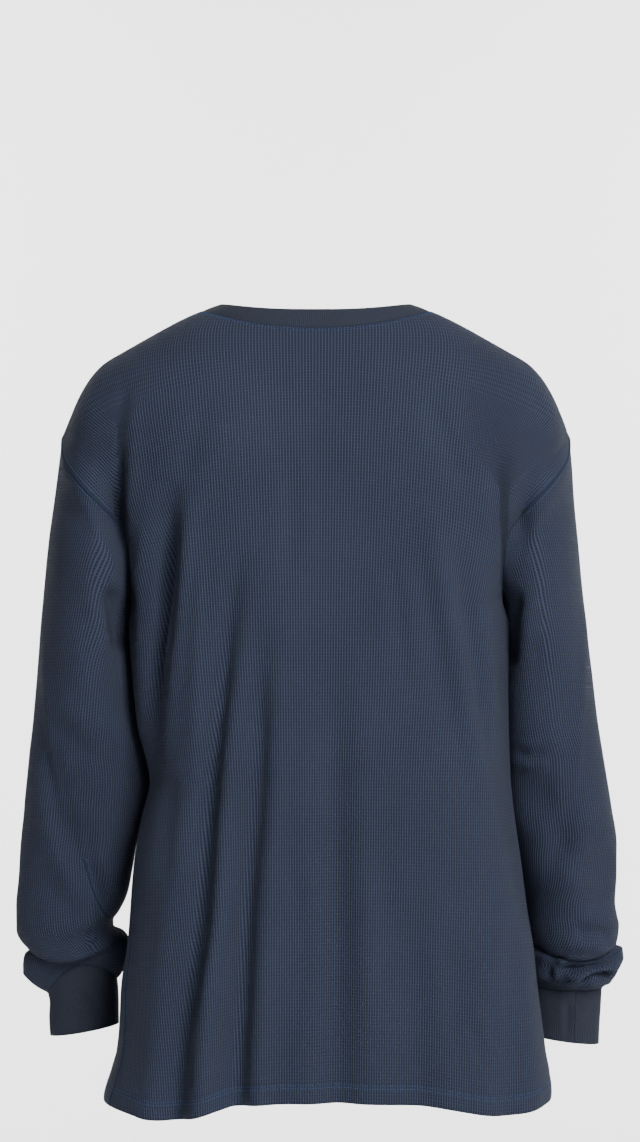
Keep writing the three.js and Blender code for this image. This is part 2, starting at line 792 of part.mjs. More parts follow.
const backRows = bodyPanel('back');
const frontRows = bodyPanel('front').map((row) => row.slice().reverse());
const hemRows = SHOULDER_ROWS + ARMHOLE_ROWS + BODY_ROWS;
const bodyWall = (i) => (i === hemRows ? HEM_WALL : CLOTH_WALL);
const cloth = () => CLOTH_WALL;

const grids = [
  makeGrid('back', backRows, false, ['top', 'sides'], bodyWall),
  makeGrid('front', frontRows, false, ['top', 'sides'], bodyWall),
  makeGrid('sleeve_left', sleeve('left'), true, ['top', 'bottom'], cloth),
  makeGrid('sleeve_right', sleeve('right'), true, ['top', 'bottom'], cloth),
  makeGrid('cuff_left', cuff('left'), true, ['top'], () => CUFF_WALL),
  makeGrid('cuff_right', cuff('right'), true, ['top'], () => CUFF_WALL),
  makeGrid('neck_band', neckBand(backRows[0], frontRows[0]), true, ['top'], () => BAND_WALL),
];
shareNormals(grids);

const group = new THREE.Group();
group.name = 'thermal_top';
grids.forEach((grid) => {
  const material = ['cuff_left', 'cuff_right', 'neck_band'].includes(grid.name) ? rib : waffle;
  group.add(wallMesh(grid, material));
});

export default group;
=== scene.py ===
"""Waffle-knit thermal top, as worn, with nobody in it.

The shapes are worked out in millimetres in the frame of the CAD model: +Z up, front towards -Y, the
wearer's left towards +X. A drop is a distance straight down from the origin.
"""

import math

import bpy
import numpy as np
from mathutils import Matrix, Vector


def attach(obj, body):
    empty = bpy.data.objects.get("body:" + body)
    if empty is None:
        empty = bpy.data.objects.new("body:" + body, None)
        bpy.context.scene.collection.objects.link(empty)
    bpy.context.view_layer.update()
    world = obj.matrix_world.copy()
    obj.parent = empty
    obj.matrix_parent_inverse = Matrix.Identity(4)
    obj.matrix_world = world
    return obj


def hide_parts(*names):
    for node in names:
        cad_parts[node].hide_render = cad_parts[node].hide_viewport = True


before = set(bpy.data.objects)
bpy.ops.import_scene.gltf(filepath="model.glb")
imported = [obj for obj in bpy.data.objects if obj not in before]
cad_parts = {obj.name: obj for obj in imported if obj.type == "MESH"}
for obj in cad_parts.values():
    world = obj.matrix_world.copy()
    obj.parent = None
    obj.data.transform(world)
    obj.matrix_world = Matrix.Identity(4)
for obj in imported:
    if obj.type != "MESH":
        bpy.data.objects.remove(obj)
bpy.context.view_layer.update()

MM = 0.001

# Thickness of the cloth, single or folded double

CLOTH_WALL = 1.5
HEM_WALL = 2.7
BAND_WALL = 2.6
CUFF_WALL = 2.2

# Where pieces meet at an angle, each edge is drawn in by this much
SEAM_GAP = 0.072
# Pieces share their normals at a seam where the cosine of the angle between them is above this
FACING = 0.3


def rows_of(text):
    return np.array([row.split() for row in text.strip().splitlines()], float)


def table(text):
    """Columns by name, from a line of names and the rows of numbers below it."""
    names, rows = text.strip().split("\n", 1)
    return dict(zip(names.split(), rows_of(rows).T))


def drawn_lines(text):
    """Lines drawn on the cloth: depth, width and the points that they pass through."""
    out = []
    for row in text.strip().splitlines():
        size, path = row.split(":")
        out.append((*map(float, size.split()), rows_of(path.replace(",", "\n"))))
    return out


# Main points, as distance from the centre and drop

NECK_HALF_WIDTH = 111
NECK_DROP = {"back": 20, "front": 95}
SHOULDER_TIP = np.array([245.5, 122.0])
ARMPIT = np.array([178.5, 275.0])
# The sleeve's head bows towards this point
ARMHOLE_PULL = np.array([173.0, 192.0])
# The armhole seam, from the shoulder to the armpit
ARMHOLE = rows_of("""
    245.5 122
    244 133
    240 145
    226 164
    208 183.5
    193 199.5
    183.5 212
    179 228
    177.6 250
    178.5 275
""")
# Drops at the centre, of the rows through the shoulder tips, the armpits and the hem
TIP_ROW_DROP = {"back": 68, "front": 130}
ARMPIT_ROW_DROP = {"back": 300, "front": 305}
HEM_DROP = {"back": 744, "front": 752, "side": 757}
# How far the hem sags on each side of the back, and where and how widely it does so
HEM_SAG = {"left": (14.5, 0.67, 0.24), "right": (6.5, 0.74, 0.2)}
HEM_CORNER_RISE = {"left": 1, "right": 7}
# How far above the edge the hem is sewn, and how high its turned-up cloth is
HEM_STITCHES = 16
HEM_TURN = 19
# How square the body and the sleeves are across: 2 is an ellipse
BODY_POWER = {"left": 2.8, "right": 4.6}
ARM_POWER = {"left": 2.2, "right": 3.0}

# Rows and columns of the meshes

SHOULDER_ROWS = 30
ARMHOLE_ROWS = 72
BODY_ROWS = 104
HEM_ROWS = 12
HEM_WALL_ROWS = 10
HEM_START = 0.945
HALF_COLUMNS = 92
SLEEVE_ROWS = 196
CUFF_ROWS = 22
BAND_ROWS = 12
# Steps of the fine lines that the rows are taken from
FINE_STEPS = 240

# The shoulder line: its drop, and how far below it the cloth is upright again
RIDGE = table("""
    side drop back front
    0 -14 185 300
    60 -10 168 275
    111 0 136 205
    130 8 118 160
    148 17.5 104 128
    165 27 92 106
    186 39 80 84
    205 50.5 70 70
    216 62 62 62
    224 74 56 56
    230 85.5 52 52
    235 97 49 49
    240 108.5 46 46
    245.5 122 44 44
""")
# The body: its half width to the left and right, and its depth behind and in front
BODY = table("""
    drop left right back front
    0 262 262 121 112
    60 258 258 121 114
    110 246 246 121 117
    150 222 222 121 120
    190 200 200 121 122
    230 186 186 121 122
    275 178.5 178.5 121 122
    330 176 178.5 121 121
    376 171.5 178 122 121
    404 167 178.3 123 121
    428 161.5 179 123.5 121.5
    451 158.5 180 124 122
    480 166 183 125.5 123
    510 172.5 187 127 123.5
    534 176 191 128 124
    610 182 208 132 127
    650 188 212 134 129
    690 190 217 137 131
    715 193 220 139 132.5
    738 200 224 140 134
    757 205 225 141 135
""")
# How far the side seams lie behind the sides, along the cloth
SIDE_SEAM = table("""
    drop left right
    275 0 0
    400 14 10
    560 44 26
    690 66 34
    757 68 34
""")
# The sleeves: outer and inner edges, where their middle lies, and their depth either way
ARM = table("""
    drop left right left_inner right_inner mid back front
    60 252 252 160 160 0 60 52
    100 251 251 162 162 0 70 60
    122 249.5 249.5 165 165 0 76 66
    145 249 248 170 170 0 82 72
    172 252 249.5 174 174 0 86 78
    202 256 251.5 177 177 0 88 82
    240 261 256 178.4 178.4 0 88 84
    275 264 258.5 178.5 178.5 0 85 84
    286 265.2 259.5 179.8 179.8 -1 83 83
    330 269 266 178.2 180.4 -3 78 78
    376 273 271 173.6 180 -8 71 71
    404 276 275.5 169 180.5 -11 66 66
    428 279 279.5 163.8 181 -14 62 62
    451 281.5 283.5 161 182.2 -17 58 59
    480 285 288.5 167.8 185.5 -21 54 55
    510 288.5 293 174.6 190.5 -27 51.5 52
    530 290.5 296 178.4 195.5 -31 50 51
    560 292 293.5 183 204 -37 48 48
""")
# How widely the hollow between body and sleeve is bridged
BRIDGE = table("""
    drop reach
    100 40
    150 30
    200 18
    240 10
    275 2
""")
# The sleeve's rows are closer together below this drop
PILE_DROP = 570
# Rings of the sleeves below the head, as drops at the outer and the inner edge
SLEEVE_RINGS = rows_of("""
    152 282
    184 292
    222 308
    262 330
    304 356
    348 386
    394 420
    438 454
    480 488
    518 520
    550 546
""")
# Rings of the piled-up sleeve ends and, from the ring at the seam on, of the cuffs
SLEEVE_ENDS = {
    "left": table("""
    outer outer_drop inner inner_drop mid back front sag front_sag
    294.5 580 186 568 -39 48 47 0 0
    294.5 603 194 585 -42 47 46 5 3
    290.5 614 200 594 -45 44 43 9 5
    285 620 200 600 -46 43 41 13 7
    282.5 623 190 605 -46 41 38 16 8
    281 623.5 184 616 -48 33 33 10 7
    287 628 184.5 630 -49 32.5 40 0 5
    289 639 189 642 -50 32 42 -9 3
    289 647 192 647 -51 31.5 40 -14 1
    283 655 194 650 -52 30.5 35 -18 -1
    274 662 195 651 -52 30 31 -21 -2
    264.5 667 196 652 -52 29.5 29 -24 -3
    262.8 677 195 664 -53 28 27.5 -16 -2
    263.5 692 194.5 681 -54 27 26.5 -6 0
    262.5 709 194.5 697 -55 28 27.5 0 0
    """),
    "right": table("""
    outer outer_drop inner inner_drop mid back front sag front_sag
    294 574 206 570 -41 46 46 0 0
    296 588 207 584 -45 45 45 3 2
    298.5 600 207.5 596 -48 46 46 7 4
    298 609 208 605 -50 45 44 10 7
    296 617 209 612 -52 41 40 13 9
    296 619.5 210 616 -53 34 36 12 9
    303 623 207 622 -54 40 43 11 7
    303.5 632 206 631 -56 43 44 9 6
    300 641 206 640 -57 42 43 9 5
    297 650 208 648 -58 38 40 8 4
    290 657 210 655 -60 32 34 5 3
    283 663 212 661 -62 28.5 29 0 0
    282 684 212 680 -64 27 27 0 0
    281 703 213 697 -66 26 26 0 0
    280.5 719 213 710 -68 27.5 27 0 0
    """),
}
SEAM_RING = 11
WRIST = {h: {k: v[: SEAM_RING + 1] for k, v in ends.items()} for h, ends in SLEEVE_ENDS.items()}
CUFF = {h: {k: v[SEAM_RING:] for k, v in ends.items()} for h, ends in SLEEVE_ENDS.items()}

# How far the neck band leans inwards and rises
BAND = {"back": (8, 18), "front": (11, 14), "side": (18, 7)}
BAND_BULGE = 1.4

# Folds: place along the cloth and drop where they start, the same where they end, depth, width and,
# on the body, whether they stay open to the hem. A negative depth is a ridge.

BACK_FOLDS = rows_of("""
    198 130 208 320 4 9 0
    134 150 178 420 13 12 0
    71 190 136 757 11 15 1
    52 250 80 757 12 14 1
    -16 290 -21 757 8 15 1
    -104 170 -186 540 -5 13 0
    -124 200 -178 480 7 11 0
    -80 520 -98 757 4 16 1
    104 560 112 757 -4 14 1
    -190 560 -184 757 5 14 1
""")
FRONT_FOLDS = rows_of("""
    165 190 190 560 9 16 0
    96 250 128 757 10 16 1
    30 330 44 757 9 17 1
    -34 290 -46 757 7 18 1
    -100 230 -142 757 11 15 1
    -168 200 -196 520 8 15 0
    66 420 84 757 -6 15 1
    205 520 214 757 7 16 1
    -206 540 -220 757 7 16 1
""")
SLEEVE_FOLDS = {
    "left": rows_of("""
    40 400 120 560 5 26
    100 250 135 420 4 24
    20 470 70 600 4 22
    220 330 300 480 5 28
    300 430 250 580 5 26
    """),
    "right": rows_of("""
    110 300 60 430 4 26
    120 430 80 560 5 24
    30 500 60 600 4 22
    230 360 290 500 5 28
    310 440 260 575 5 26
    """),
}
# The body's side behind the arm: where it starts and ends swelling, and by how much
NEST = {"left": (420, 60, 4), "right": (520, 80, 7)}
# Creases drawn on the sleeves as seen from behind or in front: depth and width, then points given
# as distance from the centre and drop. A negative depth is a ridge.
SLEEVE_CREASES = {
    "left": {
        "back": drawn_lines("""
    -1.8 4: 262 300, 259 357, 255 412, 247 464, 238 512
    -2.2 5: 228 495, 224 529, 219 552, 213 570, 205 586
    2.6 7: 217 532, 211 554, 203 573, 197 584
    4 11: 243 470, 229 520, 212 562, 203 590
    3 8: 264 396, 254 446, 245 500, 240 530
    10 9: 196 262, 187 300, 182 335
    -2 12: 253 370, 221 402
    2.5 12: 250 398, 212 432
    2 10: 262 540, 240 575, 226 600
    -1.5 9: 276 500, 268 560, 258 600
    1.6 4: 236 668, 222 673, 210 682
    1.4 4: 232 650, 212 654, 204 660
        """),
        "front": drawn_lines("""
    3 12: 246 430, 226 470, 205 500
    4 10: 268 400, 244 452, 214 480
    4 9: 280 520, 246 560, 210 572
    5 7: 284 596, 250 618, 206 604
    -2 10: 262 300, 232 380
        """),
    },
    "right": {
        "back": drawn_lines("""
    -1.8 5: 262 265, 257 330, 254 390, 251 430, 247 480
    3 5: 190 423, 205 428, 221 423
    -2 8: 196 438, 224 434
    8 8: 192 262, 184 300, 182 350
    2.5 10: 262 440, 240 500, 222 560
    2.5 12: 276 500, 262 560
    5 7: 250 602, 268 602, 290 607
    -2.5 7: 238 618, 262 614, 286 617
    3 9: 212 628, 216 640, 216 652
    9 4.2: 304 622, 284 630, 266 637, 250 638, 240 642, 236 652
    9 4: 298 650, 281 644, 267 647, 256 657
    -5 5: 292 638, 268 642, 252 647, 245 656
    5 5: 238 630, 228 640, 226 654
    1.8 5: 262 672, 250 682, 244 690
    1.2 3: 247 668, 247 715
        """),
        "front": drawn_lines("""
    4 12: 250 420, 228 465, 206 492
    3.5 10: 272 430, 246 480, 216 520
    4 9: 286 540, 252 566, 216 576
    5 7: 292 600, 258 612, 214 604
    -2 10: 262 310, 236 390
        """),
    },
}
# The same for the body
BODY_CREASES = {
    "back": drawn_lines("""
    2.6 5: 181 70, 182.5 120, 184 175
    4.5 5.5: 184 140, 185.5 180, 186 222, 184 252, 180 300
    -2.5 9: 170 110, 171 170, 170 225, 166 290
    3 8: -172 130, -173 180, -172 222
    3.5 7: 50 300, 51 352, 52 432, 56 492, 63 571, 66 641, 69 700, 70 757
    6 7: 71 241, 80 297, 89 371, 99 464, 106 576, 124 688, 132 735
    6 7: 131 180, 136 241, 139 297, 147 352, 154 415, 157 462
    -2.5 7: 108 230, 112 330, 116 440
    1.6 6: -143 664, -150 690, -158 716
    1.8 9: -120 590, -131 640, -128 700
    1.8 9: 20 520, 12 600, 16 680
    1.6 8: -70 240, -78 300, -82 360
    1.5 8: 24 150, 22 210, 26 262
    2 7: 128 440, 138 490, 141 560
    1.8 10: -60 500, -66 580, -62 660
    1.5 9: -100 90, -122 130, -140 176
    1.5 9: 98 96, 116 134, 128 176
    """),
    "front": drawn_lines("""
    4 6: -186 110, -184 165, -182 230
    4 6: 186 110, 184 165, 182 230
    2.5 9: 150 190, 136 280, 128 360
    2.5 9: -150 190, -140 270, -132 350
    2 8: 60 140, 74 180, 96 214
    2 8: -62 142, -80 184, -102 220
    3 9: 34 330, 40 450, 46 600, 52 757
    2.6 9: -96 260, -112 400, -126 560, -138 757
    2 9: 92 420, 106 520, 118 640
    1.8 9: -28 480, -34 570, -30 660
    """),
}
# The left sleeve's seam where it comes round to the back, and the columns of the cuffs' seams
SLEEVE_SEAM = np.array([(224, 529), (216, 560), (208, 580), (200, 592)], float)
CUFF_SEAM = {"left": 100, "right": 30}
# How far the sleeve's knit turns towards the back as it goes down
TWIST = ((122, 275, 350, 430, 530, 617, 700), (0, 22, 36, 48, 50, 40, 30))
# The soft swelling over each shoulder blade
BLADE = {"side": 80, "drop": 122, "reach": 46, "height": 4}
# The flat knit: how far a row's ends rise above its middle
FLAT_RISE = {"back": (20, 18, 25, 28, 28, 0), "front": (95, 78, 50, 30, 25, 0)}
# How the knit is stretched across: at drops, how much of it there is for each millimetre of cloth
FLAT_STRETCH = ((0, 41, 136, 279, 450, 757), (0.8, 0.82, 0.89, 0.97, 1.03, 1.04))
# Beyond the crease above each armpit the knit follows the armhole: distance of the crease from the
# centre, drop where it starts, and width of the change
ARMPIT_CREASE = {"left": (184, 62, 3), "right": (178, 120, 8)}
CREASE_FADE = 90

SIGN = {"back": 1, "front": -1}
HAND = {"left": 1, "right": -1}


def lerp(a, b, t):
    return a + (b - a) * t


def ease(t):
    c = np.clip(t, 0, 1)
    return c * c * (3 - 2 * c)


def line(x, y):
    """A smooth line through the points that never swings past them."""
    step = np.diff(y) / np.diff(x)
    slope = np.concatenate([[step[0]], np.zeros(len(x) - 2), [step[-1]]])
    for i in range(1, len(x) - 1):
        if step[i - 1] * step[i] > 0:
            slope[i] = 2 * step[i - 1] * step[i] / (step[i - 1] + step[i])

    def at(v):
        v = np.clip(v, x[0], x[-1])
        i = np.clip(np.searchsorted(x, v, side="right") - 1, 0, len(x) - 2)
        h = x[i + 1] - x[i]
        t = (v - x[i]) / h
        a = (1 + 2 * t) * (1 - t) ** 2
        b = t * (1 - t) ** 2
        c = t * t * (3 - 2 * t)
        d = t * t * (t - 1)
        return a * y[i] + b * h * slope[i] + c * y[i + 1] + d * h * slope[i + 1]

    return at


def lines(tab, key):
    return {name: line(tab[key], values) for name, values in tab.items() if name != key}


ridge = lines(RIDGE, "side")
body = lines(BODY, "drop")
side_seam = lines(SIDE_SEAM, "drop")
arm = lines(ARM, "drop")
bridge = lines(BRIDGE, "drop")


def lobe(q, half_width, depth, power):
    """Depth of a rounded form across its width, falling away steeply beyond its sides."""
    a = np.abs(q)
    inside = depth * np.clip(1 - np.minimum(a, 1) ** power, 0, 1) ** (1 / power)
    return np.where(a < 1, inside, -3 * half_width * (a - 1))


def yoke_depth(face, hand, x, drop):
    """Depth of the cloth behind or in front of the line through both shoulders, above the armpits."""
    half = body[hand](drop)
    trunk = lobe(x / half, half, body[face](drop), BODY_POWER[hand])
    outer, inner = arm[hand](drop), arm[hand + "_inner"](drop)
    mid, arm_half = (outer + inner) / 2, (outer - inner) / 2
    upper_arm = lobe((x - mid) / arm_half, arm_half, arm[face](drop), 2)
    reach = bridge["reach"](drop)
    h = np.maximum(reach - np.abs(trunk - upper_arm), 0) / reach
    full = np.maximum(np.maximum(trunk, upper_arm) + h * h * reach / 4, 0)
    over = np.clip((drop - ridge["drop"](x)) / ridge[face](x), 0, 1)
    return full * np.sqrt(1 - (1 - over) ** 2)


def fold_depth(folds, along, drop):
    """Depth of all folds at places on the cloth: each is a trough between two lower banks."""
    total = np.zeros_like(along)
    for start, top, end, bottom, depth, width, is_open in folds:
        t = (drop - top) / (bottom - top)
        inside = np.clip(t, 0, 1)
        off = np.abs(along - lerp(start, end, inside)) / width
        fade = lerp(0.55, 1, inside) if is_open else ease((1 - t) * 2.5)
        fade = ease(t * 3) * fade
        total += depth * fade * (0.35 * np.exp(-((off - 1.9) ** 2)) - np.exp(-off * off))
    return total


def lengths(points):
    return np.concatenate([[0], np.cumsum(np.linalg.norm(np.diff(points, axis=0), axis=1))])


def summed(step):
    """Distances from the first row, from the steps between the rows."""
    return np.concatenate([np.zeros((1, step.shape[1])), np.cumsum(step, axis=0)])


def spaced(points, count, start=0, end=None):
    """Points spaced evenly along a line between two distances."""
    along = lengths(points)
    at = np.linspace(start, along[-1] if end is None else end, count + 1)
    return np.stack([np.interp(at, along, points[:, k]) for k in range(points.shape[1])], axis=1)


def pushed(points, amount):
    """Moves a line's points level with the ground, across the line, by the depth of the folds there."""
    step = np.empty_like(points)
    step[1:-1] = points[2:] - points[:-2]
    step[0], step[-1] = points[1] - points[0], points[-1] - points[-2]
    size = np.maximum(np.hypot(step[:, 0], step[:, 1]), 1e-6)
    out = points.copy()
    out[:, 0] -= step[:, 1] / size * amount
    out[:, 1] += step[:, 0] / size * amount
    return out


def row_fall(q, neckness, face):
    """How far along its fall a row is, from the centre at 0 to its end at 1."""
    round_neck = 1 - (1 - q * q) ** 0.72 if face == "front" else q**2.2
    return lerp(q**2.4, round_neck, neckness)


def yoke_row(face, hand, centre_drop, end, neckness, free_end):
    """A row from the centre to the shoulder line or the armhole."""
    q = np.sin(np.linspace(0, math.pi / 2, FINE_STEPS + 1))
    x = end[0] * q
    drop = lerp(centre_drop, -end[2], row_fall(q, neckness, face))
    points = np.stack([x, SIGN[face] * yoke_depth(face, hand, x, drop), -drop], axis=1)
    points[-1, 1] = end[1]
    s = lengths(points)
    edge = ease((s[-1] - s) / max(36 * (1 - free_end), 0.01))
    amount = fold_depth(BACK_FOLDS if face == "back" else FRONT_FOLDS, s * HAND[hand], drop)
    if face == "back":
        away = np.hypot(x - BLADE["side"], (drop - BLADE["drop"]) * 0.8) / BLADE["reach"]
        amount += BLADE["height"] * np.exp(-away * away)
    return pushed(points, SIGN[face] * edge * (1 - neckness) * amount)


def nest(hand, drop, y):
    """How far the body's side swells out behind the arm, where it rests against the sleeve."""
    fade_in = ease((drop - 276) / 26)
    fade_out = 1 - ease((drop - NEST[hand][0]) / NEST[hand][1])
    return NEST[hand][2] * fade_in * fade_out * np.exp(-(((y - 35) / 24) ** 2))


def body_ring(hand, t):
    """Half ring of the body below the armpits, from the centre back round the side to the front."""
    side = lerp(ARMPIT[1], HEM_DROP["side"], t)
    half = body[hand](side)
    angle = np.linspace(0, math.pi, 2 * FINE_STEPS + 1)
    q = np.sin(angle)
    behind = np.arange(len(angle)) <= FINE_STEPS
    low, at, width = HEM_SAG[hand]
    sag = low * t**4 * np.exp(-(((q - at) / width) ** 2))
    sag -= HEM_CORNER_RISE[hand] * t**4 * np.exp(-(((q - 1) / 0.1) ** 2))
    rows = []
    for face, mask in (("back", behind), ("front", ~behind)):
        centre = lerp(ARMPIT_ROW_DROP[face], HEM_DROP[face], t)
        drop = lerp(centre, side, q[mask] ** 2.4) + sag[mask]
        depth = np.maximum(lobe(np.minimum(q[mask], 1), half, body[face](drop), BODY_POWER[hand]), 0)
        rows.append(np.stack([half * q[mask], SIGN[face] * depth, -drop], axis=1))
    points = np.concatenate(rows)
    points[FINE_STEPS, 1] = 0
    points[:, 0] += nest(hand, -points[:, 2], points[:, 1]) * (points[:, 0] > half * 0.6)
    s = lengths(points)
    amount = fold_depth(BACK_FOLDS, s * HAND[hand], -points[:, 2])
    amount += fold_depth(FRONT_FOLDS, (s[-1] - s) * HAND[hand], -points[:, 2])
    return pushed(points, amount)


def armhole_line(face, hand, count):
    index = np.arange(len(ARMHOLE), dtype=float)
    t = np.linspace(0, index[-1], FINE_STEPS + 1)
    flat = np.stack([line(index, ARMHOLE[:, k])(t) for k in (0, 1)], axis=1)
    depth = yoke_depth(face, hand, flat[:, 0], flat[:, 1])
    depth[0] = depth[-1] = 0
    return spaced(np.stack([flat[:, 0], SIGN[face] * depth, -flat[:, 1]], axis=1), count)


def shoulder_line(count):
    x = np.linspace(NECK_HALF_WIDTH, SHOULDER_TIP[0], FINE_STEPS + 1)
    return spaced(np.stack([x, np.zeros_like(x), -ridge["drop"](x)], axis=1), count)


def body_steps():
    """Where the body's rows lie, from the armpit to the hem: closer together in the hem."""
    above = np.linspace(0, HEM_START, BODY_ROWS - HEM_ROWS + 1)
    return np.concatenate([above, np.linspace(HEM_START, 1, HEM_ROWS + 1)[1:]])


def half_rows(face, hand):
    """All rows of one half of a body panel, from the centre outwards."""
    rows = []
    for i, end in enumerate(shoulder_line(SHOULDER_ROWS)):
        t = i / SHOULDER_ROWS
        centre = lerp(NECK_DROP[face], TIP_ROW_DROP[face], t)
        rows.append(spaced(yoke_row(face, hand, centre, end, (1 - t) ** 1.5, 0), HALF_COLUMNS))
    for i, end in enumerate(armhole_line(face, hand, ARMHOLE_ROWS)[1:]):
        t = (i + 1) / ARMHOLE_ROWS
        centre = lerp(TIP_ROW_DROP[face], ARMPIT_ROW_DROP[face], t)
        rows.append(spaced(yoke_row(face, hand, centre, end, 0, ease(t * 4 - 3)), HALF_COLUMNS))
    for t in body_steps()[1:]:
        ring = body_ring(hand, t)
        along = lengths(ring)
        seam = along[FINE_STEPS] - side_seam[hand](lerp(ARMPIT[1], HEM_DROP["side"], t))
        start = 0 if face == "back" else along[-1]
        rows.append(spaced(ring, HALF_COLUMNS, start, seam))
    return np.array(rows)


def body_panel(face):
    """The panel's points, row by row, and their places in the flat knit."""
    left = half_rows(face, "left")
    right = half_rows(face, "right") * np.array([-1, 1, 1])
    points = np.concatenate([right[:, :0:-1], left], axis=1)
    rows = len(points)
    middle = HALF_COLUMNS
    at = np.arange(rows)
    tip = SHOULDER_ROWS
    armpit = tip + ARMHOLE_ROWS
    down = lengths(points[:, middle]) + NECK_DROP[face]
    rise = np.interp(at, [0, tip, (tip + armpit) / 2, armpit, armpit + 40, rows - 1], FLAT_RISE[face])
    share = (np.arange(points.shape[1]) - middle) / middle
    step = np.linalg.norm(np.diff(points, axis=1), axis=2)
    from_end = summed(step.T).T
    u = from_end - from_end[:, middle : middle + 1]
    u *= np.interp(-points[:, :, 2], *FLAT_STRETCH)
    for column, sign, hand in ((-1, 1, "left"), (0, -1, "right")):
        seam = points[tip : armpit + 1, column]
        away, _ = seam_distance(points, seam[::4])
        side, start, soft = ARMPIT_CREASE[hand]
        wide = lerp(CREASE_FADE, soft, ease((-points[:, :, 2] - start) / 60))
        beyond = ease((sign * points[:, :, 0] - side) / wide + 0.5)
        beyond = beyond * (at[:, None] <= armpit) * (points[:, :, 2] > -ARMPIT[1])
        edge = abs(u[tip, column])
        above = ease((at[:, None] - 4) / 16)
        u = lerp(u, sign * (edge - away), beyond * above)
    bend = np.interp(at, [0, tip], [3 if face == "front" else 2.2, 2])
    v = -(down[:, None] - rise[:, None] * np.abs(share) ** bend[:, None])
    if face == "front":
        points, u, v = points[:, ::-1], u[:, ::-1], v[:, ::-1]
    return points, u, v


def ring_points(at, count):
    """One ring of a sleeve or cuff: round the back from the outer to the inner edge, then the front."""
    halves = []
    for face in ("back", "front"):
        angle = np.linspace(0, math.pi, FINE_STEPS + 1)
        t = (1 - np.cos(angle)) / 2
        lift = 2 * t * (1 - t)
        x = lerp(at["outer"], at["inner"], t) + at["bow_x"] * lift
        drop = lerp(at["outer_drop"], at["inner_drop"], t)
        sag = at["sag"] if face == "back" else at["front_sag"]
        drop = drop + at["bow_drop"] * lift + sag * np.sin(angle) ** 2
        boxy = 2 / np.where(t > 0.5, 2 + (at["power"] - 2) * ease((t - 0.5) * 4), 2)
        depth = at[face] * np.maximum(np.sin(angle), 0) ** boxy
        halves.append(
            spaced(np.stack([x, at["mid"] + SIGN[face] * depth, -drop], axis=1), count)
        )
    return np.concatenate([halves[0], halves[1][-2:0:-1]])


def sleeve_stations(hand):
    """The sleeve's rings as one table, from the armhole to the cuff seam."""
    bow = ARMHOLE_PULL - (SHOULDER_TIP + ARMPIT) / 2
    rings = []
    drops = [(SHOULDER_TIP[1], ARMPIT[1]), *SLEEVE_RINGS]
    for i, (outer_drop, inner_drop) in enumerate(drops):
        mean = (outer_drop + inner_drop) / 2
        fade = (1 - i / len(SLEEVE_RINGS)) ** 3
        ring = {
            "outer": arm[hand](outer_drop) if i else SHOULDER_TIP[0],
            "outer_drop": outer_drop,
            "inner": arm[hand + "_inner"](inner_drop),
            "inner_drop": inner_drop,
            "mid": arm["mid"](mean),
            "back": arm["back"](mean),
            "front": arm["front"](mean),
            "sag": 0,
            "front_sag": 0,
            "power": lerp(2, ARM_POWER[hand], ease(i / 2)) if outer_drop < 500 else 2,
            "bow_x": bow[0] * fade,
            "bow_drop": bow[1] * fade,
        }
        rings.append(ring)
    end = {"power": 2, "bow_x": 0, "bow_drop": 0, **WRIST[hand]}
    count = len(end["outer"])
    return {
        name: np.concatenate([[ring[name] for ring in rings], end[name] + np.zeros(count)])
        for name in rings[0]
    }


def table_rings(tab, rows):
    """Rings at even steps along a table of rings, on smooth lines through its rows."""
    index = np.arange(len(tab["outer"]), dtype=float)
    columns = {name: line(index, values) for name, values in tab.items()}
    gap = np.diff(tab["outer_drop"]) + np.diff(tab["inner_drop"])
    width = np.diff(tab["outer"] - tab["inner"]) + np.diff(tab["back"] + tab["front"])
    finer = np.where(tab["outer_drop"][:-1] > PILE_DROP, 2.2, 1)
    along = np.concatenate([[0], np.cumsum((np.hypot(gap / 2, width / 4) + 2) * finer)])
    at = np.interp(np.linspace(0, along[-1], rows + 1), along, index)
    return at, [ring_points({n: f(r) for n, f in columns.items()}, ARMHOLE_ROWS) for r in at]


def sleeve(hand):
    """The sleeve from the armhole to the cuff, with its long folds."""
    head = np.concatenate(
        [
            armhole_line("back", hand, ARMHOLE_ROWS),
            armhole_line("front", hand, ARMHOLE_ROWS)[-2:0:-1],
        ]
    )
    at, rings = table_rings(sleeve_stations(hand), SLEEVE_ROWS)
    rings = np.array(rings)
    change = head - rings[0]
    rings += change[None] * (1 - ease(at / 1.8))[:, None, None]
    rings[0] = head
    centre = rings.mean(axis=1, keepdims=True)
    turn = np.arange(rings.shape[1]) / rings.shape[1] * 360
    drop = -rings[:, :, 2]
    amount = np.zeros_like(drop)
    for start, top, end, bottom, depth, width in SLEEVE_FOLDS[hand]:
        t = (drop - top) / (bottom - top)
        off = (turn[None] - lerp(start, end, np.clip(t, 0, 1))) / width
        amount -= depth * ease(t * 3) * ease((1 - t) * 3) * np.exp(-off * off)
    out = rings[:, :, :2] - centre[:, :, :2]
    out /= np.linalg.norm(out, axis=2, keepdims=True)
    amount[[0, -1]] = 0
    rings[:, :, :2] += out * amount[:, :, None]
    return tube_uv(rings, hand)


def tube_uv(rings, hand):
    """Mirrors a tube to its side and gives its places in the flat knit."""
    rings = rings * np.array([HAND[hand], 1, 1])
    down = np.linalg.norm(np.diff(rings, axis=0), axis=2)
    v = rings[0, :, 2] - summed(down)
    ring = np.concatenate([rings, rings[:, :1]], axis=1)
    rise = np.diff(np.concatenate([v, v[:, :1]], axis=1), axis=1)
    step = np.linalg.norm(np.diff(ring, axis=1), axis=2)
    level = np.sqrt(np.maximum(step**2 - rise**2, (0.35 * step) ** 2))
    return rings, summed(level.T).T, v


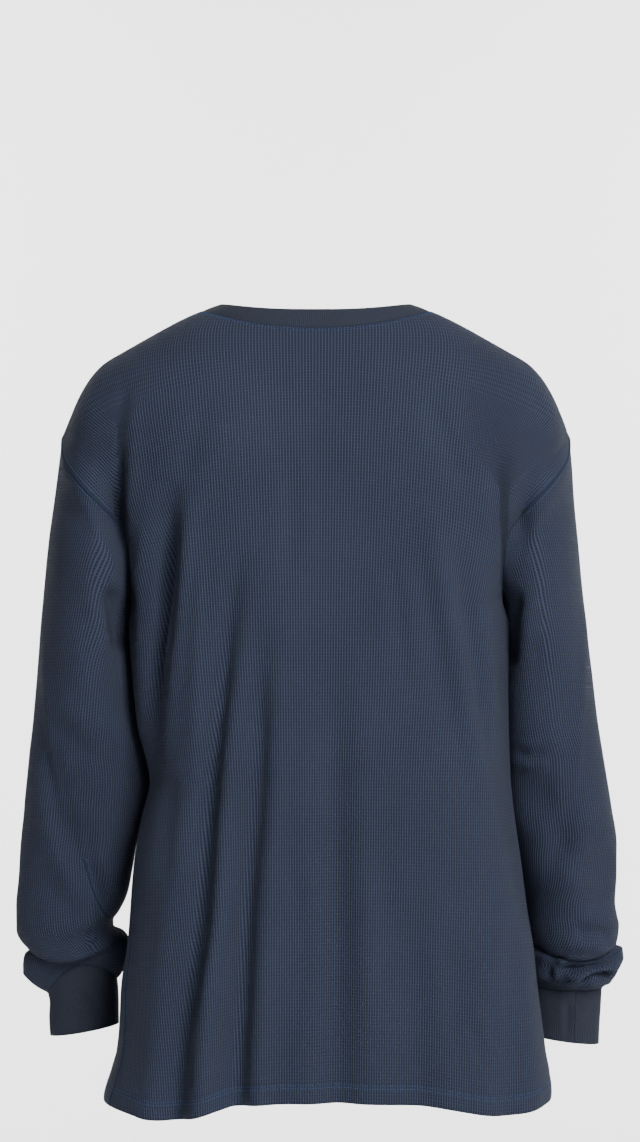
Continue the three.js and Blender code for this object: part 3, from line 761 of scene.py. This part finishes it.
def cuff(hand):
    tab = dict(CUFF[hand])
    tab["bow_x"] = tab["bow_drop"] = np.zeros(len(tab["outer"]))
    tab["power"] = tab["bow_x"] + 2
    return tube_uv(np.array(table_rings(tab, CUFF_ROWS)[1]), hand)


def neck_band(back_top, front_top):
    """The band, rising inwards from the neck seam."""
    seam = np.concatenate([back_top, front_top[1:-1]])
    side = (np.abs(seam[:, 0]) / NECK_HALF_WIDTH) ** 2
    behind = seam[:, 1] > 0
    ends = np.where(behind[:, None], BAND["back"], BAND["front"])
    lean, rise = lerp(ends, np.array(BAND["side"]), side[:, None]).T
    inward = -seam[:, :2] / np.linalg.norm(seam[:, :2], axis=1, keepdims=True)
    rows = []
    for t in np.linspace(0, 1, BAND_ROWS + 1):
        row = seam.copy()
        row[:, :2] += inward * (lean * t - BAND_BULGE * math.sin(t * math.pi))[:, None]
        row[:, 2] += rise * t
        rows.append(row)
    rows = np.array(rows)
    u = lengths(np.concatenate([seam, seam[:1]]))[None, :] + np.zeros((len(rows), 1))
    v = np.linspace(0, 18, len(rows))[:, None] + np.zeros((1, len(seam)))
    return rows, u, v


# Grids of points and their normals


class Grid:
    """A panel or, when closed, a tube of cloth, with its places in the flat knit."""

    def __init__(self, name, points, u, v, closed, thick):
        self.name, self.points, self.u, self.v = name, points, u, v
        self.closed, self.thick = closed, thick
        self.twist = ((0, 1), (0, 0))
        centre = points.reshape(-1, 3).mean(axis=0)
        self.sign = 1
        flow = (self.cells() * (points[:-1, : self.across()] - centre)).sum()
        self.sign = 1 if flow > 0 else -1

    def across(self):
        return self.points.shape[1] if self.closed else self.points.shape[1] - 1

    def around(self, a):
        """The array with its first column repeated at the end when the grid is a tube."""
        return np.concatenate([a, a[:, :1]], axis=1) if self.closed else a

    def cells(self):
        """The normals of the cells."""
        p = self.around(self.points)
        a = p[1:, 1:] - p[:-1, :-1]
        b = p[1:, :-1] - p[:-1, 1:]
        n = -self.sign * np.cross(a, b)
        return n / np.maximum(np.linalg.norm(n, axis=2, keepdims=True), 1e-9)

    def own_normals(self):
        cell = self.cells()
        rows, columns = self.points.shape[:2]
        total = np.zeros((rows, columns + self.closed, 3))
        for di in (0, 1):
            for dj in (0, 1):
                total[di : di + rows - 1, dj : dj + cell.shape[1]] += cell
        if self.closed:
            total[:, 0] += total[:, -1]
            total = total[:, :-1]
        return total / np.linalg.norm(total, axis=2, keepdims=True)

    def edges(self):
        """Rows and columns of the points round the rim."""
        rows, columns = self.points.shape[:2]
        out = [(i, j) for i in (0, rows - 1) for j in range(columns)]
        if not self.closed:
            out += [(i, j) for i in range(1, rows - 1) for j in (0, columns - 1)]
        return out


def seam_distance(points, seam):
    """How far each point is from a line through the given points, and how far along it that is."""
    flat = points.reshape(-1, points.shape[-1])
    best = np.full(len(flat), 1e9)
    along = np.zeros(len(flat))
    start = lengths(seam)
    for a, b, s in zip(seam[:-1], seam[1:], start):
        d = b - a
        t = np.clip(((flat - a) @ d) / max(d @ d, 1e-9), 0, 1)
        away = ((flat - a - t[:, None] * d) ** 2).sum(axis=1)
        along = np.where(away < best, s + t * np.linalg.norm(d), along)
        best = np.minimum(best, away)
    shape = points.shape[:-1]
    return np.sqrt(best).reshape(shape), (along / start[-1]).reshape(shape)


def crease(grid, creases, mirror):
    """Presses the drawn creases into a piece, along its own normals."""
    normal = grid.own_normals()
    place = grid.points[:, :, [0, 2]] * np.array([mirror, -1])
    amount = np.zeros(place.shape[:2])
    for face, drawn in creases.items():
        facing = ease(normal[:, :, 1] * SIGN[face] * 2.5 + 0.25)
        for depth, width, path in drawn:
            fine = np.linspace(0, len(path) - 1, 8 * (len(path) - 1) + 1)
            at = np.arange(len(path))
            smooth = np.stack([line(at, path[:, k])(fine) for k in (0, 1)], axis=1)
            away, along = seam_distance(place, smooth)
            away = away / width
            taper = ease(along * 4) * (1 if path[-1, 1] > 740 else ease((1 - along) * 4))
            strength = depth * facing * (0.12 + 0.88 * taper)
            amount -= strength * np.exp(-away * away)
            amount += 0.3 * np.maximum(strength, 0) * np.exp(-((away - 2.1) ** 2))
    rows, columns = amount.shape
    keep = np.minimum(np.arange(rows), np.arange(rows)[::-1] if grid.closed else rows)
    amount *= ease(keep / 4)[:, None]
    if not grid.closed:
        keep = np.minimum(np.arange(columns), np.arange(columns)[::-1])
        amount *= ease(keep / 4)[None]
    grid.points = grid.points + normal * amount[:, :, None]


def press_hem(grid):
    """A shallow groove along the hem's stitches, and a rounded turned edge."""
    step = np.linalg.norm(np.diff(grid.points[::-1], axis=0), axis=2)
    up = summed(step)[::-1]
    amount = 0.7 * ease((HEM_TURN - up) / 3) - 0.9 * np.exp(-(((up - HEM_STITCHES) / 2.2) ** 2))
    amount -= 0.8 * np.exp(-((up / 2.5) ** 2))
    grid.points = grid.points + grid.own_normals() * amount[:, :, None]


def share_normals(grids):
    """Normals are shared where pieces meet. Where two face each other, each keeps its own."""
    meet = {}
    for grid in grids:
        grid.normals = grid.own_normals()
        grid.parted = np.zeros(grid.points.shape[:2])
        for i, j in grid.edges():
            key = tuple(np.round(grid.points[i, j] * 50).astype(int))
            meet.setdefault(key, []).append((grid, i, j, grid.normals[i, j].copy()))
    for group in meet.values():
        for grid, i, j, mine in group:
            near = [n for *_, n in group if n @ mine > FACING]
            total = np.sum(near, axis=0)
            grid.normals[i, j] = total / np.linalg.norm(total)
            grid.parted[i, j] = len(near) < len(group)


# Objects


def make_object(name, vertices, faces, material, uvs=None):
    mesh = bpy.data.meshes.new(name)
    mesh.from_pydata(vertices, [], faces)
    if uvs is not None:
        layer = mesh.uv_layers.new(name="knit")
        layer.data.foreach_set("uv", np.asarray(uvs, np.float32).ravel())
    mesh.materials.append(material)
    mesh.polygons.foreach_set("use_smooth", [True] * len(mesh.polygons))
    mesh.validate()
    mesh.update()
    o = bpy.data.objects.new(name, mesh)
    bpy.context.scene.collection.objects.link(o)
    return o


def corners(a, lap=0):
    """The values at each cell's four corners, less the lap."""
    left, right = a[:, :-1] - lap, a[:, 1:] - lap
    return np.stack([left[:-1], left[1:], right[1:], right[:-1]], axis=2)


def wall_object(grid, material):
    """A closed wall: the grid's outside, an inside moved in along the normals, and the rims."""
    rows, columns = grid.points.shape[:2]
    thick = np.broadcast_to(np.asarray(grid.thick, float).reshape(-1, 1, 1), (rows, 1, 1))
    outside = grid.points - grid.normals * (SEAM_GAP * grid.parted)[:, :, None]
    inside = outside - grid.normals * thick
    vertices = np.concatenate([outside.reshape(-1, 3), inside.reshape(-1, 3)]) * MM
    count = rows * columns
    index = grid.around(np.arange(count).reshape(rows, columns))
    outer = corners(index).reshape(-1, 4)
    inner = outer[:, ::-1] + count
    if grid.closed:
        u = grid.u + grid.around(np.interp(-grid.points[:, :, 2], *grid.twist))
        in_front = np.arange(columns) >= columns // 2
        corner_u = corners(u, np.where(in_front, grid.u[:, -1:], 0))
        rim_u = u[:, :-1]
    else:
        rim_u = grid.u
        corner_u = corners(grid.u)
    corner_v = corners(grid.around(grid.v))
    outer_uv = np.stack([corner_u, corner_v], axis=3).reshape(-1, 4, 2)
    inner_uv = outer_uv[:, ::-1]
    edges = [(index[0], False), (index[-1], True)]
    if not grid.closed:
        edges += [(index[:, 0], True), (index[:, -1], False)]
    rims = []
    for edge, flip in edges:
        p, q = edge[:-1], edge[1:]
        face = np.stack([p, q, q + count, p + count], axis=1)
        rims.append(face[:, ::-1] if flip else face)
    rim = np.concatenate(rims)
    rim_uv = np.stack([a.ravel()[rim % count] for a in (rim_u, grid.v)], axis=2)
    faces = np.concatenate([outer, inner, rim])
    uvs = np.concatenate([outer_uv, inner_uv, rim_uv])
    if grid.sign < 0:
        faces, uvs = faces[:, ::-1], uvs[:, ::-1]
    o = make_object(grid.name + "_cloth", vertices.tolist(), faces.tolist(), material, uvs)
    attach(o, "root")
    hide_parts(grid.name)
    return o


# Materials

WALE_PITCH = 2.45
BAR_PITCH = 3.0
RIB_PITCH = 1.9


def principled(name, colour, roughness):
    """A matt material, and its shader."""
    material = bpy.data.materials.new(name)
    material.use_nodes = True
    shader = material.node_tree.nodes["Principled BSDF"]
    shader.inputs["Base Color"].default_value = (*colour, 1)
    shader.inputs["Roughness"].default_value = roughness
    shader.inputs["Specular IOR Level"].default_value = 0.18
    shader.inputs["Sheen Weight"].default_value = 0.02
    shader.inputs["Sheen Roughness"].default_value = 0.5
    return material, shader


class Nodes:
    """Adds nodes to a material."""

    def __init__(self, material):
        self.tree = material.node_tree

    def math(self, kind, a, b=0):
        node = self.tree.nodes.new("ShaderNodeMath")
        node.operation = kind
        for value, socket in zip((a, b), node.inputs):
            if isinstance(value, (int, float)):
                socket.default_value = value
            else:
                self.tree.links.new(value, socket)
        return node.outputs[0]

    def uv(self):
        node = self.tree.nodes.new("ShaderNodeUVMap")
        node.uv_map = "knit"
        split = self.tree.nodes.new("ShaderNodeSeparateXYZ")
        self.tree.links.new(node.outputs[0], split.inputs[0])
        return split.outputs[0], split.outputs[1]

    def noise(self, scale, detail):
        place = self.tree.nodes.new("ShaderNodeTexCoord")
        node = self.tree.nodes.new("ShaderNodeTexNoise")
        node.inputs["Scale"].default_value = scale
        node.inputs["Detail"].default_value = detail
        self.tree.links.new(place.outputs["Object"], node.inputs["Vector"])
        return node.outputs["Fac"]

    def mix(self, factor, dark, light):
        node = self.tree.nodes.new("ShaderNodeMix")
        node.data_type = "RGBA"
        self.tree.links.new(factor, node.inputs["Factor"])
        node.inputs["A"].default_value = (*dark, 1)
        node.inputs["B"].default_value = (*light, 1)
        return node.outputs["Result"]

    def bump(self, height, distance, strength):
        node = self.tree.nodes.new("ShaderNodeBump")
        node.inputs["Strength"].default_value = strength
        node.inputs["Distance"].default_value = distance
        self.tree.links.new(height, node.inputs["Height"])
        return node.outputs[0]


def wave(nodes, value, pitch):
    """A wave from 0 to 1 with that many millimetres from crest to crest."""
    turned = nodes.math("MULTIPLY", value, 2 * math.pi / pitch)
    return nodes.math("MULTIPLY", nodes.math("ADD", nodes.math("COSINE", turned), 1), 0.5)


def waffle_material():
    """Raised wales with lower bars across them, with painted shade in the low pits and painted light on
    the raised tops.
    """
    material, shader = principled("waffle_knit", (0.03, 0.04, 0.065), 0.92)
    nodes = Nodes(material)
    u, v = nodes.uv()
    ribs = nodes.math("POWER", wave(nodes, u, WALE_PITCH), 1.3)
    bars = nodes.math("MULTIPLY", nodes.math("POWER", wave(nodes, v, BAR_PITCH), 1.8), 0.55)
    height = nodes.math("MAXIMUM", ribs, bars)
    fuzz = nodes.math("MULTIPLY", nodes.noise(900, 3), 0.22)
    height = nodes.math("ADD", height, fuzz)
    patches = nodes.math("MULTIPLY", nodes.noise(11, 5), 0.22)
    # Painted shade: the colour follows the knit's height, darker in the pits between wales and bars and
    # paler on the raised tops, plus random patches
    painted_shade_and_patches = nodes.math("ADD", nodes.math("MULTIPLY", height, 0.78), patches)
    colour = nodes.mix(painted_shade_and_patches, (0.003, 0.0037, 0.0078), (0.0435, 0.0545, 0.093))
    nodes.tree.links.new(colour, shader.inputs["Base Color"])
    nodes.tree.links.new(nodes.bump(height, 0.0009, 0.8), shader.inputs["Normal"])
    return material


def rib_material():
    """Fine upright ribs, with painted shade in the grooves between them."""
    material, shader = principled("rib_knit", (0.022, 0.028, 0.043), 0.9)
    nodes = Nodes(material)
    u, _ = nodes.uv()
    ribs = wave(nodes, u, RIB_PITCH)
    fuzz = nodes.math("MULTIPLY", nodes.noise(1100, 3), 0.4)
    height = nodes.math("ADD", ribs, fuzz)
    patches = nodes.math("MULTIPLY", nodes.noise(16, 4), 0.25)
    # Painted shade: darker in the grooves between ribs, plus random patches
    painted_shade_and_patches = nodes.math("ADD", nodes.math("MULTIPLY", height, 0.45), patches)
    colour = nodes.mix(painted_shade_and_patches, (0.0105, 0.0125, 0.02), (0.041, 0.048, 0.072))
    nodes.tree.links.new(colour, shader.inputs["Base Color"])
    nodes.tree.links.new(nodes.bump(height, 0.0005, 0.5), shader.inputs["Normal"])
    return material


waffle = waffle_material()
rib = rib_material()
thread, _ = principled("thread", (0.036, 0.065, 0.15), 0.75)
seam_cloth, _ = principled("seam_cloth", (0.017, 0.0225, 0.037), 0.9)

# The cloth pieces

panels = {face: body_panel(face) for face in SIGN}
body_thick = np.full(len(panels["back"][0]), CLOTH_WALL)
body_thick[-HEM_WALL_ROWS:] = HEM_WALL

grids = {face: Grid(face, *panels[face], False, body_thick) for face in SIGN}
for make, wall in ((sleeve, CLOTH_WALL), (cuff, CUFF_WALL)):
    for hand in HAND:
        name = make.__name__ + "_" + hand
        grids[name] = Grid(name, *make(hand), True, wall)
tops = [panels[face][0][0] for face in SIGN]
grids["neck_band"] = Grid("neck_band", *neck_band(*tops), True, BAND_WALL)

for face in SIGN:
    crease(grids[face], {face: BODY_CREASES[face]}, 1)
    press_hem(grids[face])
for hand in HAND:
    for name in ("sleeve_" + hand, "cuff_" + hand):
        grids[name].twist = TWIST
        crease(grids[name], SLEEVE_CREASES[hand], HAND[hand])
share_normals(grids.values())

for name, grid in grids.items():
    if name in ("cuff_left", "cuff_right", "neck_band"):
        wall_object(grid, rib)
    else:
        wall_object(grid, waffle)

# Sewing: raised seams and threads


class Route:
    """A line on the cloth, with the cloth's normals along it."""

    def __init__(self, points, normals):
        self.points, self.normals = points, normals
        self.s = lengths(points)

    def at(self, s):
        points = np.stack([np.interp(s, self.s, self.points[:, k]) for k in range(3)], axis=1)
        normals = np.stack([np.interp(s, self.s, self.normals[:, k]) for k in range(3)], axis=1)
        return points, unit(normals)

    def frame(self, s):
        points, normals = self.at(s)
        ahead, _ = self.at(s + 0.6)
        behind, _ = self.at(s - 0.6)
        return points, normals, unit(np.cross(normals, unit(ahead - behind)))


def unit(a):
    return a / np.maximum(np.linalg.norm(a, axis=-1, keepdims=True), 1e-9)


def beside(points, normals, distance):
    """The line at a distance from the first row of a block of points."""
    step = np.linalg.norm(np.diff(points, axis=0), axis=2)
    down = summed(step)
    both = np.concatenate([points, normals], axis=2)
    out = [
        [np.interp(distance, down[:, j], both[:, j, k]) for k in range(6)]
        for j in range(points.shape[1])
    ]
    return Route(*np.split(np.array(out), 2, axis=1))


def drawn_on(grid, path, mirror):
    """The line on a tube's back where it crosses a path seen from behind, ring by ring."""
    drawn = line(path[:, 1], path[:, 0])
    points, normals = [], []
    for i, ring in enumerate(grid.points):
        half = ring[: len(ring) // 2 + 1]
        drop = -half[:, 2]
        inside = (drop >= path[0, 1]) & (drop <= path[-1, 1])
        off = half[:, 0] * mirror - drawn(np.clip(drop, path[0, 1], path[-1, 1]))
        cross = np.nonzero((off[:-1] > 0) & (off[1:] <= 0) & inside[:-1])[0]
        if len(cross):
            j = cross[0]
            t = off[j] / (off[j] - off[j + 1])
            points.append(lerp(half[j], half[j + 1], t))
            normals.append(lerp(grid.normals[i, j], grid.normals[i, j + 1], t))
    return Route(np.array(points), np.array(normals))


def ridge_mesh(route, width, height, step=2.5):
    """A low rounded strip along a route."""
    s = np.linspace(0, route.s[-1], max(int(route.s[-1] / step), 2) + 1)
    points, normals, across = route.frame(s)
    angle = np.linspace(0, math.pi, 6)[None, :, None]
    rows = points[:, None] + across[:, None] * np.cos(angle) * width / 2
    rows = rows + normals[:, None] * (np.sin(angle) * height - 0.25)
    count = rows.shape[1]
    index = np.arange(len(s) * count).reshape(len(s), count)
    return rows.reshape(-1, 3), corners(index).reshape(-1, 4).tolist()


def thread_mesh(route, side, pitch=3.2, width=0.75, share=0.74, lean=0):
    """A row of stitches beside a route. With a lean, they zigzag."""
    count = max(int(route.s[-1] / pitch), 2)
    middle = (np.arange(count) + 0.5) * route.s[-1] / count
    reach = pitch * share / 2
    turn = np.where(np.arange(count) % 2 == 0, 1.0, -1.0)[:, None] * lean
    rings = []
    for along, size in ((-1, 0.15), (-0.6, 1), (0.6, 1), (1, 0.15)):
        points, normals, across = route.frame(middle + reach * along)
        spot = points + across * (side + turn * along)
        for dx, dz in ((1, 0), (0, 1), (-1, 0), (0, -1)):
            rise = 0.16 + dz * width * 0.42 * size
            rings.append(spot + across * dx * size * width / 2 + normals * rise)
    vertices = np.stack(rings, axis=1).reshape(-1, 3)
    faces = []
    for ring in range(3):
        for k in range(4):
            a, b = ring * 4 + k, ring * 4 + (k + 1) % 4
            faces.append((a, b, b + 4, a + 4))
    faces += [(3, 2, 1, 0), (12, 13, 14, 15)]
    return vertices, [[v + 16 * i for v in face] for i in range(count) for face in faces]


def sew(name, meshes, material):
    """One object of several ridges or rows of thread."""
    vertices, faces, start = [], [], 0
    for points, polygons in meshes:
        vertices.append(points * MM)
        faces += [[v + start for v in polygon] for polygon in polygons]
        start += len(points)
    o = make_object(name, np.concatenate(vertices).tolist(), faces, material)
    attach(o, "root")
    return o


def double_rows(route, apart):
    return [thread_mesh(route, apart / 2), thread_mesh(route, -apart / 2)]


def closed_route(points, normals):
    return Route(np.concatenate([points, points[:1]]), np.concatenate([normals, normals[:1]]))


sewn = {name: [] for name in grids}
armpit_row = SHOULDER_ROWS + ARMHOLE_ROWS
for face in SIGN:
    grid = grids[face]
    parts = []
    from_hem = grid.points[::-1], grid.normals[::-1]
    for distance in (HEM_STITCHES + 1.5, HEM_STITCHES - 1.5):
        parts.append(thread_mesh(beside(*from_hem, distance), 0))
    neck = beside(grid.points, grid.normals, 2.6)
    parts.append(thread_mesh(neck, 0, pitch=2.4, width=0.8, lean=1.7))
    parts.append(thread_mesh(neck, 2.6, pitch=2.6, width=0.6))
    sewn[face].append(sew(face + "_threads", parts, thread))
for hand, column in (("left", -1), ("right", 0)):
    grid = grids["back"]
    side_seam = Route(grid.points[armpit_row:, column], grid.normals[armpit_row:, column])
    shoulder = Route(grid.points[: SHOULDER_ROWS + 1, column], grid.normals[: SHOULDER_ROWS + 1, column])
    parts = [ridge_mesh(side_seam, 3.4, 0.9), ridge_mesh(shoulder, 3.4, 0.9)]
    sewn["back"].append(sew("seams_" + hand, parts, seam_cloth))
    parts = double_rows(side_seam, 5.6) + double_rows(shoulder, 5.6)
    sewn["back"].append(sew("seam_threads_" + hand, parts, thread))

    sleeve_grid = grids["sleeve_" + hand]
    middle = sleeve_grid.points.shape[1] // 2
    armhole = closed_route(sleeve_grid.points[0], sleeve_grid.normals[0])
    underarm = Route(sleeve_grid.points[:, middle], sleeve_grid.normals[:, middle])
    ridges = [ridge_mesh(armhole, 3.4, 1.1), ridge_mesh(underarm, 3, 0.8)]
    threads = double_rows(armhole, 5.6) + double_rows(underarm, 5)
    if hand == "left":
        lower = drawn_on(sleeve_grid, SLEEVE_SEAM, HAND[hand])
        ridges.append(ridge_mesh(lower, 3, 0.9))
        threads += double_rows(lower, 5)
    sewn["sleeve_" + hand].append(sew("sleeve_seams_" + hand, ridges, seam_cloth))
    sewn["sleeve_" + hand].append(sew("sleeve_threads_" + hand, threads, thread))

    cuff_grid = grids["cuff_" + hand]
    joint = closed_route(cuff_grid.points[0], cuff_grid.normals[0])
    across = CUFF_SEAM[hand]
    cuff_line = Route(cuff_grid.points[:, across], cuff_grid.normals[:, across])
    parts = [ridge_mesh(joint, 2.6, 0.8), ridge_mesh(cuff_line, 2.2, 0.6)]
    sewn["cuff_" + hand].append(sew("cuff_seams_" + hand, parts, seam_cloth))
band_grid = grids["neck_band"]
band_line = closed_route(band_grid.points[0], band_grid.normals[0])
sewn["neck_band"].append(sew("band_seam", [ridge_mesh(band_line, 2.4, 0.7)], seam_cloth))

# Floor, backdrop, light and camera


def backdrop():
    """A floor that curves up into a wall."""
    material, _ = principled("pale_stage", (0.86, 0.86, 0.86), 0.9)
    floor, bend_start, bend = -1.5, -4.3, 1.2
    profile = [(6, floor), (bend_start, floor)]
    for i in range(1, 13):
        a = i / 12 * math.pi / 2
        profile.append((bend_start - bend * math.sin(a), floor + bend * (1 - math.cos(a))))
    profile.append((bend_start - bend, 6))
    vertices = [(x, y, z) for y, z in profile for x in (-7, 7)]
    faces = [(2 * i, 2 * i + 1, 2 * i + 3, 2 * i + 2) for i in range(len(profile) - 1)]
    make_object("floor_and_backdrop", vertices, faces, material)


def area_light(name, place, target, size, power):
    data = bpy.data.lights.new(name, "AREA")
    data.shape = "RECTANGLE"
    data.size, data.size_y = size
    data.energy = power
    o = bpy.data.objects.new(name, data)
    o.location = place
    aim = np.array(target, float) - np.array(place, float)
    o.rotation_euler = Vector(aim).to_track_quat("-Z", "Y").to_euler()
    bpy.context.scene.collection.objects.link(o)


backdrop()
area_light("key", (-1.5, 3.1, 1.4), (0, 0, -0.35), (1.4, 1.8), 188)
area_light("fill", (2.4, 2.8, 0.4), (0, 0, -0.4), (2.0, 2.4), 4)
area_light("top", (-0.4, 0.9, 2.6), (0, 0, -0.3), (2.4, 2.0), 18)
for side, x in (("left", 1), ("right", -1)):
    area_light("backdrop_" + side, (2.8 * x, -3, 1.3), (1.2 * x, -5.5, -0.2), (1.6, 1.6), 330)
world = bpy.data.worlds.new("soft_grey")
world.use_nodes = True
background = world.node_tree.nodes["Background"]
background.inputs["Color"].default_value = (0.9, 0.92, 0.95, 1)
background.inputs["Strength"].default_value = 0.26
bpy.context.scene.world = world

camera_data = bpy.data.cameras.new("camera")
camera_data.sensor_fit = "VERTICAL"
camera_data.angle = 2 * math.atan(0.5539 / 3.0)
camera = bpy.data.objects.new("camera", camera_data)
camera.location = (-0.004, 3.0, -0.251)
camera.rotation_euler = (math.pi / 2, 0, math.pi)
bpy.context.scene.collection.objects.link(camera)
bpy.context.scene.camera = camera
